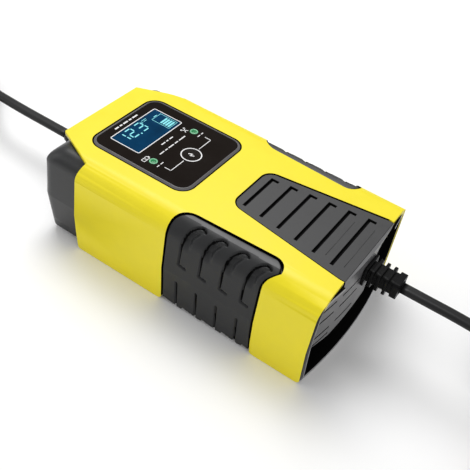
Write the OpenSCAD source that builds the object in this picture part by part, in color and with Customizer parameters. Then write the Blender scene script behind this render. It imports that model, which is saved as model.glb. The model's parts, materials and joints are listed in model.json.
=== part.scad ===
// Small automatic car battery charger: a flat box with a display panel, a louvred
// front end, side grips, a mains lead with a plug and an output lead with two clamps.
// Millimetres. +X points to the front end, where the output lead leaves. +Z is up.
// The origin is on the surface that the body stands on, under the middle of the body.

/* [Body] */
// Length of the body over the rear cap and the bowed front rim
body_len = 142; // [141:0.5:143]
// Width of the body at its widest, along the crease of the sides
body_w = 79.2; // [78.8:0.1:79.6]
// Height of the body to its flat top
body_h = 48; // [48:0.1:48.5]
// Radius of the long shoulders between the top and the sides
shoulder_r = 9.5; // [9:0.1:10]
// Height of the crease where the sides start to taper in
crease_z = 21; // [20.5:0.1:21.5]
// Wall of the cover
cover_t = 2.2; // [2:0.05:2.25]
// Wall of the inner shell, the base tray and the rear cap
shell_t = 1.6; // [1.4:0.1:1.7]

/* [Display] */
// Length of the display panel along the body
panel_len = 52.3; // [52:0.1:52.5]
// Width of the display panel across the body
panel_w = 46; // [45.8:0.1:46.2]
// Corner radius of the display panel
panel_r = 6.5; // [6:0.1:7]
// Outside radius of the repair button's cap
button_r = 4.85; // [4.84:0.005:4.87]
// Travel of the repair button
button_travel = 0.5; // [0.3:0.05:0.5]

/* [Front end] */
// How far the front rim bows out at its middle
front_bow = 3.1; // [2.9:0.1:3.3]
// How far the louvre plate stands behind the rim
louvre_depth = 1; // [0.8:0.1:1.2]

/* [Leads] */
// Width of the flat two-core cord
cord_w = 5.2; // [5:0.1:5.3]
// Thickness of the flat two-core cord
cord_t = 3.2; // [3:0.1:3.3]
// Outside diameter of one clamp lead
wire_d = 2.6; // [2.4:0.1:2.8]
// Radius of a wound coil at the middle of its turns
coil_r = 27; // [26.5:0.1:27.2]

/* [Clamps] */
// Width of a battery clamp
clamp_w = 12; // [11.8:0.1:12.2]

/* [Hidden] */
$fn = 64;

yellow = [0.93, 0.84, 0.15];
black = [0.09, 0.09, 0.1];
charcoal = [0.2, 0.2, 0.21];
grey = [0.5, 0.5, 0.51];
dark_red = [0.75, 0.08, 0.06];
copper = [0.8, 0.5, 0.3];
steel = [0.7, 0.7, 0.72];
board_green = [0.05, 0.3, 0.14];

gap = 0.1;                            // between parts that lie against each other
far = 200;                            // longer than anything that is cut
rear_x = -body_len / 2;
front_x = body_len / 2;
half_crease = body_w / 2;
half_shoulder = half_crease - 0.6;    // the sides draft in a little towards the shoulder
half_bottom = half_crease - 1.8;
shoulder_z = body_h - shoulder_r;

cover_front = front_x - 2.6;
cover_rear = rear_x + 2.15;
cover_rear_w = 48;                    // width of the top's straight rear edge
side_rear = rear_x + 21;              // rear edge of the cover on the sides
notch = [rear_x + 22.8, 33.6];        // where the chamfered top edge meets the side edge

side_front = cover_front - 0.45;      // front edge of the cover on the sides, where it bows back
foot_r = 2.2;                         // of the cover's lower corners

waist_rear = rear_x + 68.8;           // opening of the cover for a side grip
waist_front = waist_rear + 45.6;
waist_top = 29;                       // distance of its top edge from the middle
grip_gap = 0.4;
grip_pitch = 10.1;
grip_first = waist_rear + 7.9;        // first of the grooves between the pads
grip_inset = 2;                       // of the grip's base below the cover's surface
pad_inset = 0.3;                      // of the raised pads below the cover's surface
inner_inset = 3;                      // of the inner shell and tray
cap_inset = 2.4;                      // of the rear cap below the cover's surface
cap_r = 12;                           // of the rear cap's upright corners
cap_top_r = 10;                       // of its rear edge along the top
cap_lean = 4.2;                       // how far the rear cap's foot lies ahead of its crease

panel_x = rear_x + 13.4 + panel_len / 2;
panel_top = body_h + 0.5;
overlay_z = body_h - 0.9;             // underside of the overlay
overlay_t = 1;
bezel_rim = 1.5;
lcd_window = [[panel_x - 19.95, -14.4], [panel_x - 4.75, 15.8]];
led_x = panel_x + 3.35;
led_y = 14.5;
button_x = panel_x + 12.55;
display_board_z = body_h - 7;         // underside of the display board
board_t = 1.2;
display_board_top = display_board_z + board_t;
switch_h = 3.4;
switch_top = display_board_top + switch_h;

insert_rear = rear_x + 82.65;
insert_front = cover_front + 0.1;
insert_half_rear = 14.56;
insert_half_front = 21.8;
insert_corner = 5.5;

rim_r = (36 * 36 + front_bow * front_bow) / (2 * front_bow);   // bow of the front rim
rim_x = front_x - rim_r;              // centre of that bow
grille_t = 1.6;
// Outline of the louvre plate in Y and Z; the end is open below it and on its +Y side
grille_outline = [
    [-37.5, body_h - 24], [-36.5, body_h - 28.5], [-22, body_h - 31], [5.6, body_h - 27],
    [6.4, body_h - 4.6], [9, body_h - 2], [21.8, body_h - 0.8], [21.8, body_h], [-37.5, body_h]
];
slot_h = 0.9;
// Louvre slots, each [from Y, to Y, Z]
slots = [
    for (y = [[-35.2, -24], [-20, -6.9]], z = [9, 15.2, 24]) [y[0], y[1], body_h - z],
    [-34, -23.4, body_h - 28.2]
];
vent_z = [for (i = [0:2]) body_h - 16.8 - i * 6.5];
boot_z = body_h - 9.5;                // height of the output lead's axis
gland_z = body_h - 26;                // height of the mains lead's axis

display_stub_at = [for (x = [-12, 18], s = [-1, 1]) [panel_x + x, s * 22.4]];

main_board_z = 8;
main_board_top = main_board_z + 1.6;
main_board_x = [-38, 50];
main_board_half = 26;
board_screw_at = [[-34, -22], [-34, 22], [46, -22], [46, 22]];
case_screw_at = [[-40, -29.5], [-40, 29.5], [55, -29.5], [55, 29.5]];

coil_z = 0.8;                         // underside of a coil, which lies on its tie
turn_t = cord_t + 0.1;                // space that a turn takes across the coil
turn_h = cord_w + 0.1;                // space that a turn takes up the coil
coil_h = 2 * turn_h;
mains_coil_at = [-186, -8];
dc_coil_at = [156, 22.5];
mains_turns_across = 4;
dc_turns_across = 3;

// Routes of the cords' centre lines where they aren't coiled, in order from the body
mains_route = [
    [-90, 0, 22], [-104, 0, 22], [-118, 0, 22], [-131, 0.5, 21.8], [-143, 3, 20],
    [-153.5, 10, 16.5], [-162, 19, 12.5], [-173, 26.5, 8.5], [-187, 28.5, 5.5], [-200, 25, 4],
    [-210.5, 16.5, 3.5], [-216, 6, 3.5], [-218, -5, 3.5]
];
mains_tail = [
    [-196.5, -37.5, 8.8], [-188.5, -39, 9.3], [-180, -38.8, 10.6], [-171.5, -36.4, 12.2],
    [-164, -31.5, 13.6], [-158.5, -25, 14.8], [-156, -17.5, 16], [-156.2, -10, 17.1],
    [-159.5, -2.6, 18.1], [-166, 3, 18.5], [-175, 5, 18.5]
];
dc_route = [
    [85.4, 0, 38.5], [97, 0, 38.5], [109, 0, 38.5], [121, -0.3, 38], [133, -1.3, 35.8],
    [145, -3.3, 31.8], [156, -5.2, 27.2], [167, -5, 22.5], [177, -0.8, 18], [183.5, 6.8, 14.3],
    [186.5, 16.5, 11.2], [186, 27, 9]
];
dc_tail = [[156, -7.6, 3.5], [167, -7.8, 3.4], [178, -8, 3.4], [190, -8, 3.4]];
red_route = [
    [202, -9.4, 3.4], [212, -9, 3], [218.5, -8.7, 3], [224, -8.7, 3], [228.2, -10.4, 3.2],
    [230, -14.6, 3.4], [228.2, -18.8, 3.5], [224, -20.5, 3.5], [214, -20.5, 3.5],
    [203, -20.5, 4], [192, -20.5, 4.6]
];
black_route = [
    [202, -6.6, 3.4], [213, -5.8, 3], [224, -5.5, 3], [232, -8.5, 3], [236.5, -15.5, 3],
    [237, -24, 3.2], [233, -31, 3.4], [226, -34.2, 3.5], [214, -34.5, 3.5], [203, -34.5, 4],
    [192, -34.5, 4.6]
];

plug_at = [-175, 5, coil_z + coil_h + 0.2];     // middle of the plug's rear end, on the coil
plug_l = 36;
plug_w = 35.3;
plug_h = 13.7;
pin_d = 4;
pin_l = 19;
pin_root = 6;                         // length of a plug pin's thinner root in the plug
pin_pitch = 18.6;

pin_r = 1.5;                          // pivot pin of a clamp
clamp_jaw = 28;
clamp_handle = 44;
clamp_jaw_in = 2.2;                   // distance of a jaw's inside from the closing plane
clamp_tip_h = 3.5;                    // half height of the closed jaws' tips
clamp_end_h = 14;                     // half height of the splayed handles' ends
clamp_back = atan((clamp_end_h - clamp_tip_h) / (clamp_jaw + clamp_handle));
clamp_pivot_z = (clamp_tip_h + clamp_jaw * tan(clamp_back)) * cos(clamp_back);
red_clamp_at = [175, -20.5, clamp_pivot_z];
black_clamp_at = [175, -34.5, clamp_pivot_z];

// ---- helpers ----

// Outline of the body across X, stepped in by inset, with its bottom edge at low
module section(inset = 0, low = 0) {
    half_low = half_bottom + (half_crease - half_bottom) * low / crease_z - inset;
    r = shoulder_r - inset;
    flat = half_shoulder - shoulder_r;
    side = [
        [half_low, low], [half_crease - inset, crease_z],
        [half_shoulder - inset, shoulder_z], [flat, body_h - inset]
    ];
    polygon(concat(side, [for (i = [3:-1:0]) [-side[i][0], side[i][1]]]));
    for (s = [-1, 1]) translate([s * flat, shoulder_z]) circle(r);
}

// Child outline in Y and Z, drawn out along X from x0 to x1
module along_x(x0, x1) {
    translate([x0, 0, 0]) rotate([90, 0, 90]) linear_extrude(x1 - x0) children();
}

// Child outline in X and Z, drawn out along Y from y0 to y1
module along_y(y0, y1) {
    translate([0, y1, 0]) rotate([90, 0, 0]) linear_extrude(y1 - y0) children();
}

// Box between two corners
module box(low, high) {
    translate(low) cube(high - low);
}

// Flat outline of a rounded rectangle, round its own middle
module round_rect(l, w, r) {
    square([l - 2 * r, w], center = true);
    square([l, w - 2 * r], center = true);
    for (x = [-1, 1], y = [-1, 1]) translate([x * (l / 2 - r), y * (w / 2 - r)]) circle(r);
}

module round_block(at, l, w, r, z0, z1) {
    translate([at[0], at[1], z0]) linear_extrude(z1 - z0) round_rect(l, w, r);
}

// Upright cylinder between two heights
module post(at, r, z0, z1) {
    translate([at[0], at[1], z0]) cylinder(h = z1 - z0, r = r);
}

// The child, and the child mirrored across the middle plane
module both_sides() {
    children();
    mirror([0, 1, 0]) children();
}

function arc(c, r, a0, a1, n) = [
    for (i = [0:n]) c + r * [cos(a0 + (a1 - a0) * i / n), sin(a0 + (a1 - a0) * i / n)]
];

function unit(v) = v / norm(v);
function heading(p, i) = unit(p[min(i + 1, len(p) - 1)] - p[max(i - 1, 0)]);
function ring_at(p, i, w, t, sides) = let (
    d = heading(p, i), s = unit(cross(d, [0, 0, 1])), u = cross(s, d)
) [
    for (k = [0:sides - 1]) let (a = 360 * (k + 0.5) / sides) p[i] + s * cos(a) * w / 2 + u * sin(a) * t / 2
];

// Tube of width w and thickness t along a route
module sweep(route, w, t, sides = 8) {
    n = len(route);
    points = [for (i = [0:n - 1]) each ring_at(route, i, w, t, sides)];
    walls = [
        for (i = [0:n - 2], k = [0:sides - 1]) let (j = (k + 1) % sides) [
            i * sides + k, i * sides + j, (i + 1) * sides + j, (i + 1) * sides + k
        ]
    ];
    first = [for (k = [sides - 1:-1:0]) k];
    last = [for (k = [0:sides - 1]) (n - 1) * sides + k];
    polyhedron(points, concat([first], walls, [last]), convexity = 8);
}

// ---- housing ----

// Opening for a side grip, seen from above, widened by grow
module waist_outline(grow = 0) {
    offset_y = waist_top - grow;
    rear = waist_rear - grow;
    front = waist_front + 2.2 * grow;
    polygon(concat(
        [[rear, 50]],
        arc([rear + 8.6, offset_y + 8.6], 8.6, 180, 270, 8),
        arc([front - 1.5, offset_y + 4.6], 5.9, 270, 360, 8),
        [[front + 0.9, offset_y + 8], [front, offset_y + 9.4], [front, 50]]
    ));
}

// What rounds off a lower corner of a side wall that ends at x; the wall lies towards dir
module foot_corner(x, dir) along_y(-far, far) difference() {
    translate([x - foot_r, -foot_r]) square(2 * foot_r);
    translate([x + dir * foot_r, foot_r]) circle(foot_r);
    translate([dir > 0 ? x + foot_r : x - 3 * foot_r, -2 * foot_r]) square([2 * foot_r, 4 * foot_r]);
}

module yellow_cover() color(yellow) difference() {
    intersection() {
        along_x(cover_rear, cover_front) section(0);
        bowed(-0.4);
    }
    along_x(-far, far) section(cover_t, -3);
    // the top's rear corners are chamfered down to the sides' rear edges
    both_sides() translate([0, 0, -1]) linear_extrude(far) polygon([
        [cover_rear - 1, cover_rear_w / 2 - 0.4], [cover_rear, cover_rear_w / 2], notch,
        [side_rear + 0.9, 36.5], [side_rear, 38.8], [side_rear, 60], [cover_rear - 1, 60]
    ]);
    both_sides() translate([0, 0, -1]) linear_extrude(far) waist_outline();
    foot_corner(side_rear, 1);
    foot_corner(waist_rear, -1);
    foot_corner(waist_front, 1);
    foot_corner(side_front, -1);
    round_block([panel_x, 0], panel_len + 0.8, panel_w + 0.8, panel_r + 0.4, body_h - 8, body_h + 1);
    translate([0, 0, body_h - 8]) linear_extrude(9) insert_outline(0.4);
}

module inner_shell() color(black) difference() {
    union() {
        difference() {
            along_x(rear_x + 26.1, cover_front - 6) section(inner_inset);
            along_x(-far, cover_front - 6 - shell_t) section(inner_inset + shell_t, -3);
        }
        for (at = case_screw_at) post(at, 3.2, 2.4, body_h - inner_inset - 1);
        for (at = display_stub_at) post(at, 1.2, display_board_top, body_h - inner_inset - 1);
    }
    difference() {
        box([-far, -far, -far], [far, far, crease_z + 0.2]);
        for (at = case_screw_at) post(at, 3.2, 2.4, crease_z + 1);
    }
    round_block([panel_x, 0], panel_len - 5, panel_w - 3.5, 4, body_h - 9, body_h + 1);
    for (at = case_screw_at) post(at, 1.2, -1, 18);
    translate([50, 0, boot_z]) rotate([0, 90, 0]) cylinder(h = 20, r = 5.3);
    // vents in the front wall, behind the louvres
    for (z = vent_z, s = [-1, 1]) box([50, s * 20 - 12, z - 1.5], [70, s * 20 + 12, z + 1.5]);
}

module base_tray() color(black) difference() {
    union() {
        difference() {
            along_x(rear_x + 26.1, cover_front - 6) section(inner_inset, 0);
            along_x(rear_x + 24, cover_front - 6 - shell_t) section(inner_inset + shell_t, 2.2);
            box([-far, -far, crease_z], [far, far, far]);
        }
        for (at = board_screw_at) post(at, 3, 2, main_board_z);
    }
    for (at = board_screw_at) post(at, 1.25, 3, far);
    for (at = case_screw_at) {
        post(at, 1.7, -1, 4);
        post(at, 3.2, -1, 1.2);
    }
}

module rear_cap() color(black) difference() {
    intersection() {
        along_x(rear_x, rear_x + 26) section(cap_inset, 3);
        translate([rear_x + 30, 0, -1]) linear_extrude(far) round_rect(60, body_w - 2 * cap_inset, cap_r);
        along_y(-far, far) polygon(concat(
            [[rear_x + cap_lean, 3], [rear_x, crease_z]],
            arc([rear_x + cap_top_r, body_h - cap_inset - cap_top_r], cap_top_r, 180, 90, 14),
            [[rear_x + 40, body_h], [rear_x + 40, 3]]
        ));
    }
    intersection() {
        along_x(rear_x + 3.6, rear_x + 40) section(cap_inset + shell_t, 4.8);
        translate([rear_x + 33.6, 0, -1]) linear_extrude(far)
            round_rect(60, body_w - 2 * cap_inset - 2 * shell_t, cap_r - shell_t);
        along_y(-far, far) polygon(concat(
            [[rear_x + cap_lean + 1.8, 3], [rear_x + 3.6, 15]],
            arc([rear_x + 10.6, body_h - cap_inset - shell_t - 7], 7, 180, 90, 8),
            [[rear_x + 40, body_h], [rear_x + 40, 3]]
        ));
    }
    round_block([panel_x, 0], panel_len + 0.6, panel_w + 0.6, panel_r + 0.3, body_h - 9, body_h + 1);
    translate([rear_x - 5, 0, gland_z]) rotate([0, 90, 0]) cylinder(h = 15, r = 4.2);
}

module side_grip() intersection() {
    union() {
        difference() {
            along_x(waist_rear - 5, waist_front + 5) section(grip_inset, 1);
            along_x(-far, far) section(inner_inset - 0.05, -3);
        }
        difference() {
            along_x(waist_rear - 5, waist_front + 5) section(pad_inset, 1);
            along_x(-far, far) section(grip_inset + 0.1, -3);
            for (i = [0:3]) {
                x = grip_first + i * grip_pitch;
                box([x - 0.55, -far, 0], [x + 0.55, far, far]);
            }
            box([-far, -33, -far], [far, 33, far]);
        }
    }
    translate([0, 0, -1]) linear_extrude(far) waist_outline(-grip_gap);
}
module side_grip_left() color(charcoal) side_grip();
module side_grip_right() color(charcoal) mirror([0, 1, 0]) side_grip();

module insert_outline(grow = 0) {
    slope = (insert_half_front - insert_half_rear) / (insert_front - insert_rear);
    r = insert_corner + grow;
    rear_half = insert_half_rear - insert_corner;
    hull() {
        for (s = [-1, 1]) translate([insert_rear + insert_corner, s * rear_half]) circle(r, $fn = 32);
        translate([cover_front - 1, 0]) square([2.2, 2 * (insert_half_front + grow)], center = true);
    }
}

module top_insert() color(charcoal) difference() {
    intersection() {
        translate([0, 0, body_h - inner_inset]) linear_extrude(inner_inset - 0.3) insert_outline();
        box([-far, -far, 0], [insert_front, far, far]);
    }
    for (i = [0:5]) {
        x = insert_rear + 4.45 + i * 8.78;
        half = 11.2 + i * 1.13;
        box([x - 0.5, -half, body_h - 1.3], [x + 0.5, half, far]);
        box([x - 0.5, half - 1, body_h - 1.3], [x + 2.9, half, far]);
    }
}

// Solid inside the bowed front face, stepped back by depth
module bowed(depth = 0) {
    translate([rim_x, 0, -1]) cylinder(h = far, r = rim_r - depth, $fn = 256);
}

module front_bezel() color(grey) difference() {
    intersection() {
        along_x(cover_front - 5.9, far) section(cover_t + gap);
        bowed();
    }
    along_x(-far, far) section(cover_t + 1.4, 1.4);
    // the louvre plate's top edge and the top insert pass through here
    box([0, -insert_half_front - 0.4, body_h - 3.9], [far, insert_half_front + 0.4, far]);
}

module front_grille() color(grey) difference() {
    intersection() {
        along_x(cover_front - 6, far) intersection() {
            polygon(grille_outline);
            union() {
                section(cover_t + 1.5);
                translate([-insert_half_front, body_h - 6]) square([2 * insert_half_front, 5.5]);
            }
        }
        bowed(louvre_depth);
    }
    bowed(louvre_depth + grille_t);
    box([0, -far, body_h - 3.2], [insert_front + 0.1, far, far]);
    for (at = slots) box([0, at[0], at[2] - slot_h / 2], [far, at[1], at[2] + slot_h / 2]);
    translate([0, 0, boot_z]) rotate([0, 90, 0]) cylinder(h = far, r = 4.1);
}

// ---- display ----

module display_bezel() color(grey) difference() {
    round_block([panel_x, 0], panel_len, panel_w, panel_r, body_h - inner_inset, panel_top);
    round_block([panel_x, 0], panel_len - 2 * bezel_rim, panel_w - 2 * bezel_rim,
        panel_r - bezel_rim, overlay_z, far);
    round_block([panel_x, 0], panel_len - 6, panel_w - 6, 3.5, 0, far);
}

module display_overlay() color([0.05, 0.05, 0.05]) difference() {
    round_block([panel_x, 0], panel_len - 2 * bezel_rim - 0.2, panel_w - 2 * bezel_rim - 0.2,
        panel_r - bezel_rim - 0.1, overlay_z, overlay_z + overlay_t);
    box([lcd_window[0][0], lcd_window[0][1], 0], [lcd_window[1][0], lcd_window[1][1], far]);
    for (s = [-1, 1]) post([led_x, s * led_y], 2, 0, far);
    post([button_x, 0], button_r + 0.1, 0, far);
}

module lcd_module() color([0.02, 0.13, 0.3]) {
    box([lcd_window[0][0] - 2.2, lcd_window[0][1] - 2.6, display_board_top],
        [lcd_window[1][0] + 1.6, lcd_window[1][1] + 2.6, overlay_z - 0.1]);
}

module display_board() color(board_green) difference() {
    box([panel_x - 22.5, -23.8, display_board_z], [panel_x + 22.5, 23.8, display_board_top]);
    for (at = display_stub_at) post(at, 0.8, 0, far);
}

module repair_button() color(black) {
    post([button_x, 0], button_r, overlay_z - 0.8, overlay_z + overlay_t + 0.15);
    post([button_x, 0], button_r + 0.9, overlay_z - 0.8, overlay_z - 0.1);
}

module switch_plunger() color([0.85, 0.8, 0.3]) {
    post([button_x, 0], 1.7, switch_top - 0.7, overlay_z - 0.8);
}

module tact_switch() color(black) difference() {
    box([button_x - 3, -3, display_board_top], [button_x + 3, 3, switch_top]);
    post([button_x, 0], 1.78, switch_top - 1.4, far);
}

module led(y) color([0.1, 0.5, 0.25]) {
    post([led_x, y], 1.9, display_board_top, overlay_z + overlay_t + 0.15);
    post([led_x, y], 2.4, display_board_top, display_board_top + 1);
}
module led_charge() led(-led_y);
module led_repair() led(led_y);

// Flat ribbon between the two boards, in a shallow S
module ribbon_cable() color([0.6, 0.6, 0.62]) {
    x = panel_x + 19.5;
    n = 10;
    centre = [
        for (i = [0:n]) [
            x + 2.5 * sin(360 * i / n), main_board_top + (display_board_z - main_board_top) * i / n
        ]
    ];
    along_y(-7, 7) polygon(concat(
        [for (p = centre) p + [0.35, 0]], [for (i = [n:-1:0]) centre[i] - [0.35, 0]]
    ));
}

// ---- power electronics ----

module main_board() color(board_green) difference() {
    box([main_board_x[0], -main_board_half, main_board_z],
        [main_board_x[1], main_board_half, main_board_top]);
    for (at = board_screw_at) post(at, 1.6, 0, far);
}

transformer_at = [16, 0, main_board_top + 1.5];
core_h = 24;

module transformer_core() color(charcoal) translate(transformer_at) difference() {
    translate([-14, -5.5, 0]) cube([28, 11, core_h]);
    for (x = [-10, 4]) translate([x, -10, 4]) cube([6, 20, core_h - 8]);
}

module transformer_winding() color([0.85, 0.7, 0.15]) translate(transformer_at) {
    translate([-13, -10, -1.5]) cube([26, 20, 1.4]);
    difference() {
        translate([0, 0, 4.1]) linear_extrude(core_h - 8.2) round_rect(19.6, 22, 4);
        translate([-4.1, -5.6, 0]) cube([8.2, 11.2, core_h]);
    }
}

choke_at = [-24, -12, main_board_top + 10.2];

module choke_core() color([0.25, 0.3, 0.25]) translate(choke_at) rotate([90, 0, 0]) rotate_extrude() {
    translate([5, -3]) square([4, 6]);
}

module choke_winding() color(copper) translate(choke_at) rotate([90, 0, 0]) {
    for (a = [20, 200]) rotate([0, 0, a]) difference() {
        rotate_extrude(angle = 140) translate([4.1, -3.9]) square([5.8, 7.8]);
        rotate_extrude() translate([4.95, -3.05]) square([4.1, 6.1]);
    }
}

module x_capacitor() color([0.85, 0.75, 0.2])
    box([-37, 3, main_board_top], [-29, 18.5, main_board_top + 15]);

module bulk_capacitor() color([0.1, 0.15, 0.3]) {
    post([-9.5, 16], 8, main_board_top, main_board_top + 25);
    post([-9.5, 16], 7.2, main_board_top + 25, main_board_top + 25.6);
}

module output_capacitors() color([0.1, 0.1, 0.12]) for (y = [-12, 0]) {
    post([40.5, y], 5, main_board_top, main_board_top + 20);
}

module bridge_rectifier() color(black) box([-24, 4, main_board_top + 2], [-20, 19, main_board_top + 16]);

module fuse() color([0.85, 0.85, 0.8]) translate([-35, -18, main_board_top + 3.2]) rotate([-90, 0, 0]) {
    cylinder(h = 15, r = 2.6);
    for (z = [0, 10.5]) translate([0, 0, z]) cylinder(h = 4.5, r = 3);
}

device_y = 21.9;
device_x = [2, 30];

module power_devices() color(black) for (x = device_x) {
    s = x == device_x[0] ? -1 : 1;
    box([x - 5, s * device_y - 2.2, main_board_top + 5], [x + 5, s * device_y + 2.2, main_board_top + 20]);
    for (k = [-2.54, 0, 2.54]) {
        box([x + k - 0.4, s * device_y - 0.3, main_board_top],
            [x + k + 0.4, s * device_y + 0.3, main_board_top + 5]);
    }
}

module heatsinks() color(steel) for (x = device_x) {
    s = x == device_x[0] ? -1 : 1;
    y = s * (device_y - 3.3);
    box([x - 9, y - 1, main_board_top], [x + 9, y + 1, main_board_top + 24]);
    for (k = [-8, -4, 0, 4, 8]) {
        box([x + k - 0.6, y - s * 1 - (s > 0 ? 5 : 0), main_board_top + 2],
            [x + k + 0.6, y - s * 1 + (s > 0 ? 0 : 5), main_board_top + 24]);
    }
}

module mains_wires() color([0.4, 0.25, 0.1]) for (s = [-1, 1]) {
    sweep([
        [rear_x + 6.2, s * 1.3, gland_z], [rear_x + 13, s * 2.2, gland_z - 1.5],
        [rear_x + 21, s * 4, gland_z - 5], [rear_x + 29, s * 2.6, gland_z - 8.5],
        [rear_x + 35, s * 1.4 - 0.4, main_board_top + 1.2]
    ], 1.8, 1.8);
}

module dc_wires() color(dark_red) for (s = [-1, 1]) {
    sweep([
        [cover_front - 7.4, s * 1.4, boot_z], [cover_front - 11, s * 2, boot_z - 4],
        [cover_front - 15.5, s * 2.6, boot_z - 12], [cover_front - 19, s * 3.5 + 6, boot_z - 20],
        [cover_front - 21, s * 4 + 11, main_board_top + 1.4]
    ], 2.2, 2.2);
}

module board_screws() color(steel) for (at = board_screw_at) {
    post(at, 1.2, main_board_z - 4.5, main_board_top);
    post(at, 2.6, main_board_top, main_board_top + 1.6);
}

module case_screws() color(steel) for (at = case_screw_at) {
    difference() {
        post(at, 2.8, 0.3, 1.2);
        box([at[0] - 2, at[1] - 0.4, 0], [at[0] + 2, at[1] + 0.4, 0.7]);
        box([at[0] - 0.4, at[1] - 2, 0], [at[0] + 0.4, at[1] + 2, 0.7]);
    }
    post(at, 1.15, 1.2, 14);
}

// ---- mains lead ----

gland_len = 19;

module rear_gland() color(black) translate([rear_x, 0, gland_z]) rotate([0, -90, 0]) {
    translate([0, 0, -6]) cylinder(h = 2, r = 5.6);
    translate([0, 0, -4]) cylinder(h = 4.1, r = 4.1);
    cylinder(h = 2, r = 5.4);
    cylinder(h = gland_len, r1 = 5, r2 = 3.4);
}

// Outer shape of a coil of cord that lies flat
module coil(at, turns_across) translate([at[0], at[1], coil_z]) rotate_extrude($fn = 96) {
    translate([coil_r - turns_across * turn_t / 2, 0]) square([turns_across * turn_t, coil_h]);
}

// Flat tie round a coil at an angle on it
module tie(at, turns_across, angle) translate([at[0], at[1], 0]) rotate([0, 0, angle]) difference() {
    w = turns_across * turn_t;
    translate([coil_r - w / 2 - 1.5, -3, 0]) cube([w + 3, 6, coil_z + coil_h + 0.9]);
    translate([coil_r - w / 2 - 0.7, -4, coil_z - 0.02]) cube([w + 1.2, 8, coil_h + 0.12]);
}

module mains_lead() color(black) {
    sweep(mains_route, cord_w, cord_t);
    sweep(mains_tail, cord_w, cord_t);
}
module mains_coil() color(black) coil(mains_coil_at, mains_turns_across);
module mains_tie() color(charcoal) tie(mains_coil_at, mains_turns_across, 25);

// Where each plug pin leaves the plug, with +Z along the pin
module at_plug_pins() translate(plug_at) {
    for (s = [-1, 1]) translate([-plug_l, s * pin_pitch / 2, plug_h / 2]) rotate([0, -90, 0]) children();
}

module plug_body() color(black) difference() {
    translate(plug_at - [plug_l / 2, 0, 0]) linear_extrude(plug_h) round_rect(plug_l, plug_w, 6.5);
    at_plug_pins() translate([0, 0, -pin_root]) cylinder(h = 2 * pin_root, r = pin_d / 2 - 0.5);
}

module plug_pins() color(steel) at_plug_pins() {
    cylinder(h = pin_l, r = pin_d / 2);
    translate([0, 0, -pin_root]) cylinder(h = pin_root, r = pin_d / 2 - 0.5);
}

// ---- output lead ----

// Ribbed strain relief: a root block in the louvre plate, then spaced ribs on a flat neck
module front_boot() color(black) translate([0, 0, boot_z]) {
    along_x(cover_front - 6.4, 85.4) round_rect(6.2, 4.6, 2.2);
    along_x(cover_front - 6.4, cover_front - 4.6) circle(5);
    along_x(cover_front - 6.4, front_x) circle(3.9);
    along_x(front_x - louvre_depth + 0.1, front_x + 0.4) round_rect(12, 9.6, 1.5);
    along_x(front_x, 83) round_rect(8.4, 6.6, 1.8);
    for (x = [72.8, 75.8, 79.1]) along_x(x, x + 1.3) round_rect(10.6, 8.8, 1.5);
    along_x(82.2, 85) round_rect(9.6, 7.8, 1.5);
}

module dc_lead() color(black) {
    sweep(dc_route, cord_w, cord_t);
    sweep(dc_tail, cord_w, cord_t);
}
module dc_coil() color(black) coil(dc_coil_at, dc_turns_across);
module dc_tie() color(charcoal) tie(dc_coil_at, dc_turns_across, 110);

module lead_splitter() color(black) translate([0, -8, 3.4]) {
    along_x(190, 202) round_rect(7.6, 5.2, 2);
}

module red_lead() color(dark_red) sweep(red_route, wire_d, wire_d);
module black_lead() color(black) sweep(black_route, wire_d, wire_d);

// ---- battery clamps ----
// Each half is drawn with the pivot at its origin, its closing plane at z = 0 and its
// jaw towards -X, then leaned back so that the lower half's back lies on the surface.

half_outline = [
    [-clamp_jaw, clamp_jaw_in], [-clamp_jaw, clamp_tip_h], [clamp_handle, clamp_end_h], [clamp_handle, 12],
    [clamp_handle - 4, 11.4], [8, 5.2], [5, 4.2], [-8, 4.2], [-13, 4], [-14, clamp_jaw_in]
];

module leaned(at, up) translate(at) rotate([0, -clamp_back, 0]) mirror([0, 0, up ? 0 : 1]) children();

// Half of a clamp's body, with two ears round the pin between y_in and y_out
module clamp_half(y_in, y_out, bore_r) difference() {
    union() {
        along_y(-clamp_w / 2, clamp_w / 2) polygon(half_outline);
        both_sides() along_y(y_in, y_out) {
            circle(3.4);
            translate([-3.4, 0]) square([6.8, 5]);
        }
    }
    rotate([90, 0, 0]) cylinder(h = far, r = bore_r, center = true);
}

module clamp_lower(at) leaned(at, false) clamp_half(4.6, 6, pin_r - 0.01);
module clamp_upper(at) leaned(at, true) clamp_half(3, 4.4, pin_r + 0.06);

// Toothed contact strip inside a jaw
module teeth(at, up) leaned(at, up) along_y(-clamp_w / 2 + 1.2, clamp_w / 2 - 1.2) polygon(concat(
    [[-clamp_jaw + 0.4, clamp_jaw_in]],
    [for (i = [0:5]) each [[-clamp_jaw + 0.5 + i * 2.2, 0.1], [-clamp_jaw + 1.6 + i * 2.2, 1.1]]],
    [[-14.2, 0.6], [-14.2, clamp_jaw_in]]
));

module clamp_pin(at) translate(at) rotate([90, 0, 0]) {
    cylinder(h = clamp_w + 1.2, r = pin_r, center = true);
    for (s = [-1, 1]) translate([0, 0, s * (clamp_w / 2 + 0.35) - 0.25]) cylinder(h = 0.5, r = 2.3);
}

// Torsion spring round the pin, as its outer shape
module clamp_spring(at) translate(at) rotate([90, 0, 0]) difference() {
    cylinder(h = 5.4, r = 2.9, center = true);
    cylinder(h = 6, r = pin_r + 0.3, center = true);
}

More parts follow.
